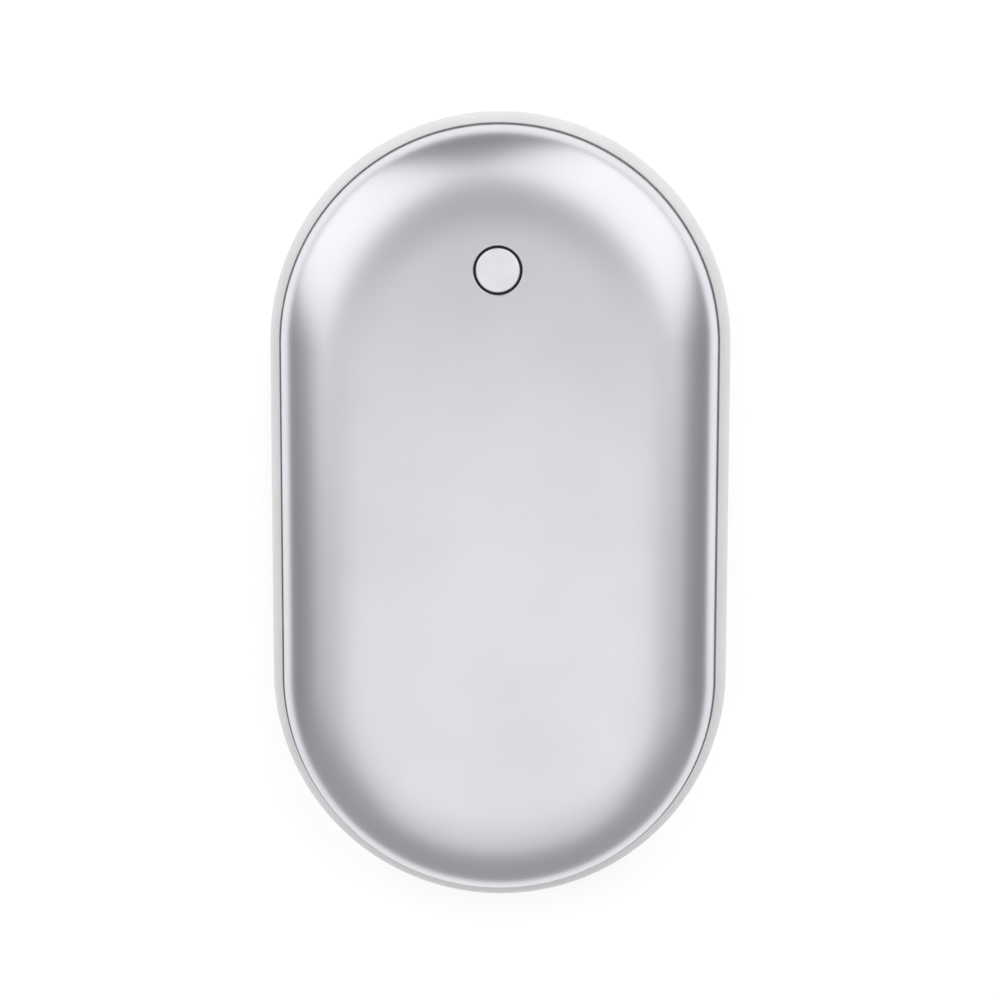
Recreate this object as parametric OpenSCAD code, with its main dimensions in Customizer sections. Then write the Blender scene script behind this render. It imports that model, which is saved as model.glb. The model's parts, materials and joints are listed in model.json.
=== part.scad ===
// Rechargeable hand warmer of pebble shape: two pressed aluminium shells on a moulded band,
// with two round cells, a heater film behind each shell and one push button.
// Lengths are in millimetres. It lies on its back shell with the front shell up (+Z), the
// button and the charging port towards +Y, and the origin on the back face, at its middle.

/* [Body] */
// Width over the band
body_w = 61; // [58:0.5:66]
// Length over the band
body_l = 105; // [95:0.5:115]
// Thickness over the two shells
body_t = 26.5; // [24:0.1:29]

/* [Band] */
// Height of the band between its two seams
band_h = 13; // [12:0.1:14]
// Squareness of the band's bulge, where 2 is an ellipse
band_power = 2.5; // [2:0.1:4]
// Depth of the band from its widest line to its inner wall
band_depth = 3.2; // [3.1:0.1:3.4]
// Depth of the rebate that each shell sits in
rebate_depth = 1; // [0.8:0.1:1.2]
// Gap of the seam between a shell and the band's lip
seam_gap = 0.25; // [0.15:0.05:0.35]
// Thickness of the inner flange that the chassis halves clamp
flange_t = 1.6; // [1.5:0.1:2]
// Reach of the inner flange from the band's inner wall
flange_w = 1.5; // [1.2:0.1:1.8]

/* [Shells] */
// Distance of a shell's edge inside the band's widest line
shell_inset = 2; // [1.8:0.1:2.2]
// Width of the rounded zone between a shell's edge and its flat face
edge_zone = 15; // [14:0.5:15]
// Squareness of the rounded zone, where 2 is an ellipse
edge_power = 2.5; // [2.3:0.1:2.8]
// Wall of the pressed shells
shell_wall = 0.8; // [0.6:0.1:1]
// Thickness of the adhesive bead under a shell's edge
bond_t = 0.2; // [0.1:0.05:0.3]

/* [Heaters] */
// Thickness of a heater film with its adhesive
film_t = 0.3; // [0.2:0.05:0.4]
// Distance of a film's edge inside the shell's edge
film_inset = 11.8; // [11.4:0.1:13]
// Thickness of the foam pad behind a film
foam_t = 1.2; // [0.8:0.1:1.4]
// Width of the foam's rim round a film
foam_rim = 1; // [0.6:0.1:1.4]
// Size along the body of the slots that the film's leads come through
slot_l = 3; // [2.6:0.1:4]
// Size across the body of those slots
slot_w = 5.6; // [5.2:0.1:6]
// Distance of the slots from the button, along the body
slot_offset = 2; // [1.6:0.1:2.6]
// Distance of the slots' outer corners inside the foam's edge
slot_inset = 0.5; // [0.3:0.1:1.2]

/* [Button] */
// Distance of the button from the end of the body
button_from_end = 20.6; // [20.4:0.1:22]
// Diameter of the button's cap
cap_d = 5.6; // [5:0.1:6.4]
// Gap all round the cap
cap_gap = 0.3; // [0.2:0.05:0.5]
// Height of the cap above the shell
cap_proud = 0.15; // [0:0.05:0.4]
// Bevel on the cap's rim and round the hole in the shell
rim_bevel = 0.2; // [0.1:0.05:0.3]
// Stroke of the button
travel = 0.3; // [0.2:0.05:0.35]
// Diameter of the collar that keeps the button in
collar_d = 8.2; // [7.8:0.1:9]
// Thickness of the collar
collar_t = 0.6; // [0.4:0.1:0.7]
// Play between the collar and the shell
collar_play = 0.15; // [0.1:0.05:0.2]
// Diameter of the button's stem
stem_d = 4; // [3:0.1:4.4]
// Radial clearance of the stem in its guide
guide_fit = 0.08; // [0.03:0.01:0.1]
// Wall of the guide tube
guide_wall = 0.9; // [0.6:0.1:1.2]
// Height of the guide tube's foot above the switch plunger
guide_clear = 2; // [1.5:0.1:3]
// Room round the collar in the heater film and the foam
collar_room = 0.6; // [0.4:0.1:0.8]
// Play between the stem and the switch plunger
stem_play = 0.05; // [0.03:0.01:0.1]

/* [Cells] */
// Room between the cells and the chassis halves above and below them
cell_headroom = 0.8; // [0.5:0.1:1.4]
// Distance of the circuit board behind the cells' positive ends
cell_setback = 2.47; // [2.2:0.01:3.3]
// Wall of a cell's steel can
can_wall = 0.3; // [0.2:0.05:0.5]
// Wall of the sleeve on a cell
sleeve_t = 0.15; // [0.1:0.05:0.2]
// Gap between the two cells
cell_gap = 0.4; // [0.3:0.1:0.8]
// Clearance of the cells in the cradle ribs
cell_fit = 0.2; // [0.1:0.05:0.3]
// Height of a cell's positive cap above the rim of the can
pole_h = 0.7; // [0.4:0.1:1]
// Width of the can's rim round the recess of the positive cap
crimp_w = 2; // [1.5:0.1:2.5]
// Width of the gasket between that rim and the positive cap
gasket_w = 2.5; // [2:0.1:3.5]
// Depth of that recess
crimp_depth = 0.8; // [0.6:0.1:1.2]
// Thickness of the strips welded to the cells
strip_t = 0.2; // [0.15:0.05:0.3]
// Width of the welded strips
strip_w = 6; // [4:0.5:6.5]
// Clearance between the cells' ends and what stops them
end_play = 0.3; // [0.2:0.1:0.5]

/* [Chassis] */
// Wall of the chassis halves
chassis_wall = 1; // [0.8:0.1:1.2]
// Gap between the chassis and the band
chassis_gap = 0.3; // [0.2:0.1:0.5]
// Thickness of the cradle ribs
rib_t = 1.5; // [1:0.1:2.5]
// Number of cradle ribs in each chassis half
rib_count = 3; // [2:1:5]
// Height above the middle plane where the ribs begin
rib_low = 5.5; // [5.2:0.1:7]
// Thickness of the plates that stop the cells' ends
stop_t = 1.5; // [1:0.1:2]
// Width of those plates
stop_w = 8; // [6:0.5:10]
// Height of those plates
stop_h = 3; // [2:0.1:3.5]
// Diameter of the screw bosses
boss_d = 4.4; // [4:0.1:4.8]
// Distance of the chassis screws from the ends of the straight sides
boss_setback = 4; // [0:0.5:8]
// Clearance between the bosses and the cells
boss_gap = 1.4; // [1:0.1:2]

/* [Board] */
// Thickness of the circuit board
board_t = 1; // [0.8:0.1:1.2]
// Gap between the board's edge and the chassis wall
board_gap = 0.8; // [0.5:0.1:1]
// Board left behind the switch
board_margin = 1.2; // [0.8:0.1:1.4]
// Distance of the board's screws from its round edge
post_setback = 4.5; // [4:0.1:5]
// Direction of the board's screws from the middle of the end
post_angle = 30; // [24:1:34]
// Distance of the battery leads' pads from the board's straight edge
pad_margin = 1.6; // [1.4:0.1:1.8]
// Distance of the negative lead's pad from the switch
pad_gap = 3; // [2.4:0.1:4]
// Gap between the control chip and the heater transistors
chip_gap = 1.2; // [0.8:0.1:2]
// Gap between the control chip and the charging port
port_clear = 3; // [2:0.1:3.2]

/* [Switch] */
// Side of the switch's square base
switch_w = 6; // [5.5:0.1:6.4]
// Height of the base under its cover
switch_base_h = 3.3; // [3:0.1:3.5]
// Height of the whole switch
switch_h = 5; // [4.5:0.1:6]
// Thickness of the switch's steel cover
cover_t = 0.2; // [0.15:0.05:0.3]
// Diameter of the plunger
plunger_d = 3.4; // [3:0.1:3.6]
// Thickness of the plunger's foot
foot_t = 0.5; // [0.4:0.05:0.6]
// Play over and under the plunger's foot
foot_play = 0.05; // [0.03:0.01:0.08]
// Distance of the foot's rim inside the pocket
foot_inset = 0.3; // [0.2:0.05:0.4]
// Diameter of the pocket under the plunger
dome_d = 4.8; // [4.6:0.1:5]
// Radial play of the snap dome in its pocket
dome_fit = 0.1; // [0.05:0.05:0.15]
// Thickness of the snap dome
dome_t = 0.1; // [0.08:0.01:0.12]
// Room left under the snap dome when it is pressed
dome_rest = 0.1; // [0.05:0.05:0.3]
// Distance between the two legs on a side of the switch
leg_pitch = 4; // [3.6:0.1:4.2]

/* [Charging port] */
// Width of the port's steel shell
port_w = 8.94; // [8.9:0.01:9]
// Height of the port's steel shell
port_h = 3.26; // [3.2:0.01:3.3]
// Depth of the port's steel shell
port_depth = 7.35; // [7:0.05:7.6]
// Wall of the port's steel shell
port_wall = 0.3; // [0.2:0.05:0.35]
// Distance of the port's mouth behind the end of the band
port_recess = 0.5; // [0.3:0.1:1]
// Gap round the port in the band and the chassis
port_gap = 0.3; // [0.2:0.05:0.5]
// Width of the tongue in the port
tongue_w = 6.69; // [6.5:0.01:6.8]
// Thickness of the tongue
tongue_t = 0.7; // [0.6:0.05:0.75]
// Distance of the tongue's tip behind the mouth
tongue_setback = 1; // [0.8:0.1:1.5]
// Depth of the plug of plastic that carries the tongue
plug_depth = 1.7; // [1.5:0.1:2]
// Number of contacts on each face of the tongue
contact_count = 12; // [4:1:12]
// Pitch of the contacts
contact_pitch = 0.5; // [0.5:0.01:0.55]
// Width of a contact
contact_w = 0.25; // [0.2:0.01:0.3]
// Length of a contact
contact_len = 3.4; // [3:0.1:3.8]
// Thickness of a contact
contact_t = 0.06; // [0.04:0.01:0.1]
// Distance of the contacts behind the tongue's tip
contact_setback = 0.3; // [0.2:0.1:0.6]

/* [Indicator lights] */
// Number of indicator lights
light_count = 4; // [3:1:4]
// Direction of the first light from the middle of the end
light_from = 44; // [42:1:46]
// Angle between the lights
light_step = 7; // [6:0.5:7]
// Diameter of the light pipe's pins
pipe_d = 1.4; // [1:0.1:1.4]
// Radial clearance of the pins in the band
pipe_fit = 0.1; // [0.05:0.05:0.2]
// Distance of the pins' ends inside the band's widest line
pin_inset = 0.1; // [0.05:0.05:0.3]
// Thickness of the light pipe's bar
bar_t = 1.2; // [0.8:0.1:1.4]
// Height of the bar above its pins
bar_rim = 0.5; // [0.3:0.1:0.8]
// Play of the bar over the board
bar_play = 0.2; // [0.1:0.1:0.3]
// Gap between the lights and the light pipe
light_gap = 0.3; // [0.2:0.1:0.5]

/* [Screws] */
// Diameter of the screws
screw_d = 1.7; // [1.6:0.1:2]
// Diameter of the screw heads
head_d = 3.2; // [2.8:0.1:3.4]
// Height of the screw heads
head_h = 1.1; // [0.8:0.1:1.4]
// Length of the chassis screws under their heads
chassis_screw_len = 8; // [6:0.5:9]
// Height of the chassis screws' seats above the middle plane
seat_z = 3.2; // [2.6:0.1:4]
// Length of the board screws under their heads
board_screw_len = 5; // [4:0.5:6]
// Radial clearance of a screw in its pilot hole
thread_fit = 0.02; // [0.01:0.01:0.05]
// Radial clearance of a screw in a through hole
hole_fit = 0.15; // [0.1:0.05:0.2]

/* [Leads] */
// Diameter of the battery and heater leads
lead_d = 1.2; // [0.8:0.1:1.2]
// Distance between the two leads of a heater
lead_pitch = 2.6; // [2.2:0.1:3]
// Straight run at the ends of a lead
lead_run = 1; // [0.8:0.1:1.2]
// Sideways shift of a heater's or the thermistor's leads between their ends
lead_shift = 0.8; // [0.4:0.1:0.9]
// Gap between the negative lead and the edge of the strip that it passes over
valley_gap = 0.6; // [0.5:0.1:0.8]
// Diameter of the thermistor's leads
fine_d = 0.6; // [0.4:0.1:0.7]
// Distance between the thermistor's two leads
fine_pitch = 2; // [1.6:0.1:2.4]
// Diameter of the thermistor's bead
bead_d = 1.6; // [1:0.1:1.8]
// Room at each end of the bead in its slot
bead_room = 1; // [0.6:0.1:1.2]

/* [Hidden] */
$fn = 72;

// Steps along the rounded zone of a shell, half of the band's bulge and the snap dome
edge_steps = 14;
bulge_steps = 8;
dome_steps = 6;
// Amount by which a cutter runs past what it cuts
over = 1;
// Overlap that joins two solids of one piece
join = 0.1;

// Plan: a pill outline with half-round ends, which every swept section follows
half_w = body_w / 2;
half_l = body_l / 2;
straight = half_l - half_w;
half_t = body_t / 2;
button_y = half_l - button_from_end;

// Band and shells, with radii from the middle line of the pill and heights from the middle plane
seam_z = band_h / 2;
ledge_z = seam_z - rebate_depth;
skirt_z = ledge_z + bond_t;
shell_r = half_w - shell_inset;
lip_r = shell_r + seam_gap;
band_in_r = half_w - band_depth;
flange_r = band_in_r - flange_w;
flange_z = flange_t / 2;
plateau_r = shell_r - edge_zone;

// What lies behind each shell, from the shell inwards
film_z = half_t - shell_wall;
foam_z = film_z - film_t;
chassis_z = foam_z - foam_t;
ceiling_z = chassis_z - chassis_wall;
film_in_r = shell_r - shell_wall - film_t;
film_r = shell_r - film_inset;
foam_r = film_r + foam_rim;
chassis_r = band_in_r - chassis_gap;
chassis_in_r = chassis_r - chassis_wall;

// Circuit board, switch and port: the port lies on the board and is centred in the band
board_top = -port_h / 2;
board_z = board_top - board_t;
board_r = chassis_in_r - board_gap;
board_y0 = button_y - switch_w / 2 - board_margin;
post_r = board_r - post_setback;
plunger_top = board_top + switch_h;
cover_z = board_top + switch_base_h;
foot_d = dome_d - 2 * foot_inset;
dome_h = dome_t + travel + dome_rest;
pocket_z = cover_z - 2 * foot_play - foot_t - dome_h;
port_y = half_l - port_recess;

// Cells, lying along Y in the middle plane. Their size is what the room for them allows, 18 mm
// across and 65 mm long here: between the chassis halves, and from the chassis wall to the board.
cell_r = ceiling_z - cell_headroom;
cell_d = 2 * (cell_r - sleeve_t);
cell_x = cell_r + cell_gap / 2;
cell_y0 = -straight - sqrt(pow(chassis_in_r, 2) - pow(cell_x + cell_r, 2)) + end_play + strip_t;
cell_y1 = board_y0 - cell_setback;
cell_len = cell_y1 - cell_y0;
can_len = cell_len - pole_h;
crimp_d = cell_d - 2 * crimp_w;
pole_d = crimp_d - 2 * gasket_w;

// Screws that clamp the chassis halves and the band's flange
boss_x = cell_x + cell_r + boss_gap + boss_d / 2;
boss_y = straight - boss_setback;

// Button
cap_top = half_t + cap_proud;
collar_top = film_z - collar_play;
stem_low = plunger_top + stem_play;
guide_low = plunger_top + guide_clear;

// Light pipe and lights, round the middle of the +Y end
bar_out_r = board_r + bar_play;
bar_in_r = bar_out_r - bar_t;
bar_z0 = board_top + bar_play;
bar_z1 = pipe_d / 2 + bar_rim;
led_size = [1, 1.6, 0.8];
light_to = light_from + (light_count - 1) * light_step;

// Sizes of the parts on the board, and of their legs
inductor_w = 5.2;
inductor_h = 3;
charge_size = [4.9, 2.6, 1.5];
charge_leg = [0.4, 0.6, 0.4];
charge_pitch = 1.27;
control_size = [4, 4, 0.9];
transistor_size = [2.9, 1.4, 1.1];
transistor_leg = [0.4, 0.5, 0.3];
transistor_pitch = 1.9;
capacitor_size = [1.6, 0.8, 0.8];
capacitor_pitch = 4;
capacitor_count = 4;

// Their places: the inductor and the charge chip from the board's round edge, by a direction and
// a distance, the control chip and the transistors from the port, the capacitors midway between
inductor_angle = 128;
inductor_setback = 4.2;
charge_angle = 52;
charge_setback = 6.5;
control_y = port_y - port_depth - port_clear - control_size.y / 2;
transistor_x = (control_size.x + transistor_size.x) / 2 + chip_gap;
capacitor_y = (button_y + switch_w / 2 + control_y - control_size.y / 2) / 2;

// Leads' pads on the board, and the slots that a heater's leads come through
pad_y = board_y0 + pad_margin;
pad_x = -switch_w / 2 - pad_gap;
slot_y = button_y + slot_offset;
slot_x = sqrt(pow(foam_r - slot_inset, 2) - pow(slot_y + slot_l / 2 - straight, 2)) - slot_w / 2;

// Height of the bead of the thermistor, which lies under the film where the film bends down
bead_x = slot_x + slot_w / 2 - bead_room;
bead_top = dish_z(norm([bead_x, slot_y + bead_d / 2 - straight]), film_in_r, foam_z);

// Points of a quarter of a superellipse, from its side to its top
function quarter(w, h, power, steps) =
    [for (i = [0:steps])
        let (a = 90 * i / steps)
        [w * pow(cos(a), 2 / power), h * pow(sin(a), 2 / power)]];

// The same quarter moved out to a radius and up to a height
function edge(r, z, w, h, power, steps) =
    [for (p = quarter(w, h, power, steps)) [r - w + p.x, z + p.y]];

function reversed(list) = [for (i = [len(list) - 1:-1:0]) list[i]];

// Outline of a dished half from its rim to the middle line: foot of the rim, rounded zone, top
function dish(r, foot, top) =
    concat([[r, foot]], edge(r, seam_z, r - plateau_r, top - seam_z, edge_power, edge_steps),
        [[0, top]]);

// Height of that outline's rounded zone at a radius
function dish_z(at, r, top) =
    let (u = max(at - plateau_r, 0) / (r - plateau_r))
    seam_z + (top - seam_z) * pow(1 - pow(u, edge_power), 1 / edge_power);

// Carries a half section, drawn with X outwards and Y up, round the pill outline
module swept() {
    for (turn = [0, 180])
        rotate([0, 0, turn])
            translate([0, straight, 0])
                rotate_extrude(angle = 180)
                    children();
    translate([0, straight, 0])
        rotate([90, 0, 0])
            linear_extrude(2 * straight) {
                children();
                mirror([1, 0])
                    children();
            }
}

// Puts what is drawn above the middle plane on the front half (0) or the back half (1)
module half(side) {
    translate([0, 0, half_t])
        mirror([0, 0, side])
            children();
}

// A flat pill of a radius between two heights
module pill(r, z0, z1) {
    swept()
        translate([0, z0])
            square([r, z1 - z0]);
}

// A dished wall between an outer and an inner outline
module dished_wall(r, foot, top, wall) {
    swept()
        polygon(concat(dish(r, foot, top), reversed(dish(r - wall, foot, top - wall))));
}

// The solid inside a dished outline
module dished_solid(r, foot, top) {
    swept()
        polygon(concat([[0, foot]], dish(r, foot, top)));
}

// A sheet out to a radius, between the outline that it lies against and the one inside it
module layer(reach, r, top, in_r, in_top) {
    intersection() {
        swept()
            polygon(concat(dish(r, ledge_z, top), reversed(dish(in_r, ledge_z, in_top))));
        pill(reach, ledge_z - over, half_t);
    }
}

// The film and the foam behind a shell
module film_layer() {
    layer(film_r, shell_r - shell_wall, film_z, film_in_r, foam_z);
}

module foam_layer() {
    layer(foam_r, film_in_r, foam_z, chassis_r, chassis_z);
}

// A slot with half-round ends, drawn across X
module slot(w, h) {
    square([w - h, h], center = true);
    for (s = [-1, 1])
        translate([s * (w - h) / 2, 0])
            circle(d = h);
}

// A slot carried along Y from y0 to y1, in the middle plane
module slot_bar(w, h, y0, y1) {
    translate([0, y1, 0])
        rotate([90, 0, 0])
            linear_extrude(y1 - y0)
                slot(w, h);
}

// Copies of what is at the chassis screws
module at_bosses() {
    for (x = [-boss_x, boss_x], y = [-boss_y, boss_y])
        translate([x, y, 0])
            children();
}

// Copies of what is at the board screws
module at_posts() {
    for (a = [post_angle, 180 - post_angle])
        translate([post_r * cos(a), straight + post_r * sin(a), 0])
            children();
}

// Copies of what is at the lights, with X pointing out of the end
module at_lights() {
    for (i = [0:light_count - 1])
        translate([0, straight, 0])
            rotate([0, 0, light_from + i * light_step])
                children();
}

// The room that the port needs in what it passes through
module port_cutter() {
    slot_bar(port_w + 2 * port_gap, port_h + 2 * port_gap, straight + flange_r - 2 * over, half_l + over);
}

// A cylinder along Y from y0 to y1
module rod_y(d, y0, y1) {
    translate([0, y1, 0])
        rotate([90, 0, 0])
            cylinder(d = d, h = y1 - y0);
}

// The two cells' outline, with a clearance
module cell_room(fit) {
    for (x = [-cell_x, cell_x])
        translate([x, 0, 0])
            rod_y(2 * (cell_r + fit), cell_y0 - over, cell_y1 + over);
}

function unit(v) = v / norm(v);

// Directions along a line of points: at a point, that between its two neighbours
function directions(p, first, last) =
    concat([first], [for (i = [1:len(p) - 2]) unit(p[i + 1] - p[i - 1])], [last]);

// A point of the cubic from a to b that leaves along u and arrives along v
function curve_point(a, b, u, v, t) =
    let (reach = norm(b - a), s = 1 - t)
    (1 + 2 * t) * s * s * a + t * s * s * reach * u + (1 + 2 * s) * t * t * b - s * t * t * reach * v;

// A smooth line through points, in steps between each two of them
function smooth(points, dirs, steps) =
    concat([for (i = [0:len(points) - 2], k = [0:steps - 1])
        curve_point(points[i], points[i + 1], dirs[i], dirs[i + 1], k / steps)], [points[len(points) - 1]]);

// A side direction carried along without twist
function carried(dirs, side, i = 0) =
    i == len(dirs) ? [] :
        let (s = unit(side - (side * dirs[i]) * dirs[i]))
        concat([s], carried(dirs, s, i + 1));

lead_sides = 8;
lead_steps = 4;

// A lead: one closed tube along a smooth line through its points, with its ends square to the
// first and last of their runs. None of the leads starts along X.
module lead(points, d) {
    end = len(points) - 1;
    first = unit(points[1] - points[0]);
    last = unit(points[end] - points[end - 1]);
    line = smooth(points, directions(points, first, last), lead_steps);
    dirs = directions(line, first, last);
    sides = carried(dirs, [1, 0, 0]);
    n = len(line);
    ring_points = [for (i = [0:n - 1], k = [0:lead_sides - 1])
        let (a = 360 * k / lead_sides)
        line[i] + d / 2 * (cos(a) * sides[i] + sin(a) * cross(dirs[i], sides[i]))];
    walls = [for (i = [0:n - 2], k = [0:lead_sides - 1], half_face = [0, 1])
        let (a = i * lead_sides + k, b = i * lead_sides + (k + 1) % lead_sides)
        half_face == 0 ? [a, a + lead_sides, b] : [b, a + lead_sides, b + lead_sides]];
    first_cap = [for (k = [1:lead_sides - 2]) [0, k, k + 1]];
    last_cap = [for (k = [1:lead_sides - 2])
        let (a = (n - 1) * lead_sides)
        [a, a + k + 1, a + k]];
    polyhedron(ring_points, concat(walls, first_cap, last_cap));
}

module shell(side) {
    half(side)
        dished_wall(shell_r, skirt_z, half_t, shell_wall);
}

module front_shell() {
    hole_r = cap_d / 2 + cap_gap;
    color("silver")
        difference() {
            shell(0);
            translate([0, button_y, half_t + film_z - over])
                cylinder(r = hole_r, h = shell_wall + 2 * over);
            translate([0, button_y, body_t - rim_bevel])
                cylinder(r1 = hole_r, r2 = hole_r + rim_bevel + over, h = rim_bevel + over);
        }
}

module back_shell() {
    color("silver")
        shell(1);
}

module mid_band() {
    bulge = edge(half_w, 0, half_w - lip_r, seam_z, band_power, bulge_steps);
    upper = concat(bulge, [[lip_r, ledge_z], [band_in_r, ledge_z], [band_in_r, flange_z],
        [flange_r, flange_z]]);
    lower = [for (p = reversed(upper)) if (p.y > 0) [p.x, -p.y]];
    color("gainsboro")
        half(0)
            difference() {
                union() {
                    swept()
                        polygon(concat(upper, lower));
                    at_bosses()
                        translate([0, 0, -flange_z])
                            cylinder(d = boss_d, h = flange_t);
                    for (side = [0, 1], y = [-boss_y, boss_y])
                        mirror([side, 0, 0])
                            translate([boss_x, y - boss_d / 2, -flange_z])
                                cube([flange_r + join - boss_x, boss_d, flange_t]);
                }
                at_bosses()
                    translate([0, 0, -flange_z - over])
                        cylinder(r = screw_d / 2 + hole_fit, h = flange_t + 2 * over);
                port_cutter();
                // The flange is open where the light pipe passes
                translate([0, straight, -flange_z - over])
                    rotate([0, 0, light_from - light_step / 2])
                        rotate_extrude(angle = light_to - light_from + light_step)
                            translate([flange_r - over, 0])
                                square([flange_w + over, flange_t + 2 * over]);
                at_lights()
                    rotate([0, 90, 0])
                        cylinder(r = pipe_d / 2 + pipe_fit, h = half_w + over);
            }
}

module button_cap() {
    color("whitesmoke")
        translate([0, button_y, half_t]) {
            translate([0, 0, cap_top - rim_bevel])
                cylinder(r1 = cap_d / 2, r2 = cap_d / 2 - rim_bevel, h = rim_bevel);
            translate([0, 0, collar_top - collar_t / 2])
                cylinder(d = cap_d, h = cap_top - rim_bevel - collar_top + collar_t / 2);
            translate([0, 0, collar_top - collar_t])
                cylinder(d = collar_d, h = collar_t);
            translate([0, 0, stem_low])
                cylinder(d = stem_d, h = collar_top - collar_t / 2 - stem_low);
        }
}

module bond(side) {
    color("dimgray")
        half(side)
            swept()
                translate([shell_r - shell_wall, ledge_z])
                    square([shell_wall, bond_t]);
}

module front_bond() bond(0);

module back_bond() bond(1);

// Slots for a heater's leads and the thermistor, at places along X
module lead_slots(places, z0, z1) {
    for (x = places)
        translate([x - slot_w / 2, slot_y - slot_l / 2, z0])
            cube([slot_w, slot_l, z1 - z0]);
}

// Chassis half without its own fittings: dished wall, cradle ribs, stops and bosses
module chassis_body() {
    dished_wall(chassis_r, flange_z, chassis_z, chassis_wall);
    intersection() {
        dished_solid(chassis_r, flange_z, chassis_z);
        union() {
            difference() {
                for (i = [0:rib_count - 1])
                    translate([-half_w, cell_y0 + cell_len * (i + 0.5) / rib_count - rib_t / 2, rib_low])
                        cube([body_w, rib_t, half_t]);
                cell_room(cell_fit);
            }
            at_bosses()
                translate([0, 0, flange_z])
                    cylinder(d = boss_d, h = half_t);
        }
    }
}

module front_chassis() {
    color("darkslategray")
        half(0)
            difference() {
                union() {
                    chassis_body();
                    translate([0, button_y, guide_low])
                        cylinder(r = stem_d / 2 + guide_fit + guide_wall, h = chassis_z - guide_low);
                }
                translate([0, button_y, 0])
                    cylinder(r = stem_d / 2 + guide_fit, h = half_t + over);
                at_bosses() {
                    cylinder(r = screw_d / 2 + hole_fit, h = half_t);
                    translate([0, 0, seat_z])
                        cylinder(r = head_d / 2 + hole_fit, h = half_t);
                }
                lead_slots([-slot_x, slot_x], ceiling_z - over, chassis_z + over);
                port_cutter();
            }
}

module back_chassis() {
    color("darkslategray")
        half(1)
            difference() {
                union() {
                    chassis_body();
                    intersection() {
                        dished_solid(chassis_r, flange_z, chassis_z);
                        union() {
                            at_posts()
                                translate([0, 0, -board_z])
                                    cylinder(d = boss_d, h = half_t);
                            for (x = [-cell_x, cell_x], y = [cell_y0 - end_play - strip_t - stop_t,
                                cell_y1 + end_play + strip_t])
                                translate([x - stop_w / 2, y, ceiling_z - stop_h])
                                    cube([stop_w, stop_t, half_t]);
                        }
                    }
                }
                at_bosses()
                    cylinder(r = screw_d / 2 + thread_fit, h = chassis_screw_len - seat_z + over);
                at_posts()
                    cylinder(r = screw_d / 2 + thread_fit, h = board_screw_len - board_top + over);
                lead_slots([-slot_x], ceiling_z - over, chassis_z + over);
                port_cutter();
            }
}

module front_heater_film() {
    color("darkorange")
        half(0)
            difference() {
                film_layer();
                translate([0, button_y, foam_z - over])
                    cylinder(d = collar_d + 2 * collar_room, h = film_t + 2 * over);
            }
}

module back_heater_film() {
    color("darkorange")
        half(1)
            film_layer();
}

module front_foam() {
    color("lightgray")
        half(0)
            difference() {
                foam_layer();
                translate([0, button_y, chassis_z - over])
                    cylinder(d = collar_d + 2 * collar_room, h = foam_t + 2 * over);
                lead_slots([-slot_x, slot_x], chassis_z - over, foam_z + over);
            }
}

module back_foam() {
    color("lightgray")
        half(1)
            difference() {
                foam_layer();
                lead_slots([-slot_x], chassis_z - over, foam_z + over);
            }
}

// Places what is drawn along Y from the cell's foot at the left (-1) or right (1) cell
module at_cell(side) {
    translate([side * cell_x, cell_y0, half_t])
        children();
}

module cell_can(side) {
    color("gray")
        at_cell(side)
            difference() {
                rod_y(cell_d, 0, can_len);
                rod_y(cell_d - 2 * can_wall, can_wall, can_len - crimp_depth - can_wall);
                rod_y(crimp_d, can_len - crimp_depth, can_len + over);
            }
}

module cell_core(side) {
    color("dimgray")
        at_cell(side)
            rod_y(cell_d - 2 * can_wall, can_wall, can_len - crimp_depth - can_wall);
}

module cell_gasket(side) {
    color("white")
        at_cell(side)
            difference() {
                rod_y(crimp_d, can_len - crimp_depth, can_len);
                rod_y(pole_d, can_len - crimp_depth - over, can_len + over);
            }
}

module cell_cap(side) {
    color("lightsteelblue")
        at_cell(side)
            rod_y(pole_d, can_len - crimp_depth, cell_len);
}

module cell_sleeve(side) {
    color("royalblue")
        at_cell(side)
            difference() {
                rod_y(2 * cell_r, 0, can_len);
                rod_y(cell_d, -over, can_len + over);
            }
}

module cell_can_left() cell_can(-1);

module cell_can_right() cell_can(1);

module cell_core_left() cell_core(-1);

module cell_core_right() cell_core(1);

module cell_gasket_left() cell_gasket(-1);

module cell_gasket_right() cell_gasket(1);

module cell_cap_left() cell_cap(-1);

module cell_cap_right() cell_cap(1);

module cell_sleeve_left() cell_sleeve(-1);

module cell_sleeve_right() cell_sleeve(1);

// A welded strip across both cells, from y to y + strip_t
module strip(y) {
    color("lightsteelblue")
        translate([-cell_x - strip_w / 2, y, half_t - strip_w / 2])
            cube([2 * cell_x + strip_w, strip_t, strip_w]);
}

module strip_positive() strip(cell_y1);

module strip_negative() strip(cell_y0 - strip_t);

// The positive lead leaves its strip along Y and turns down onto its pad
module lead_positive() {
    y = cell_y1 + strip_t;
    color("crimson")
        half(0)
            lead([[cell_x, y, lead_run], [cell_x, y + lead_run, lead_run],
                [cell_x, pad_y, board_top + lead_run], [cell_x, pad_y, board_top]], lead_d);
}

// The negative lead turns back over the cells and runs in the valley between them to its pad
module lead_negative() {
    y = cell_y0 - strip_t - lead_run;
    valley_z = (strip_w + lead_d) / 2 + valley_gap;
    turn_r = (valley_z + lead_run) / 2;
    turn = [for (a = [-90:45:90]) [0, y - turn_r * cos(a), valley_z - turn_r * (1 - sin(a))]];
    color("black")
        half(0)
            lead(concat([[0, y + lead_run, -lead_run]], turn,
                [[0, cell_y0 + cell_len / 2, valley_z], [0, cell_y1 - 3 * lead_run, valley_z],
                [0, cell_y1, valley_z], [pad_x / 2, (cell_y1 + pad_y) / 2, strip_w / 2],
                [pad_x, pad_y, board_top + lead_run], [pad_x, pad_y, board_top]]), lead_d);
}

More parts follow.
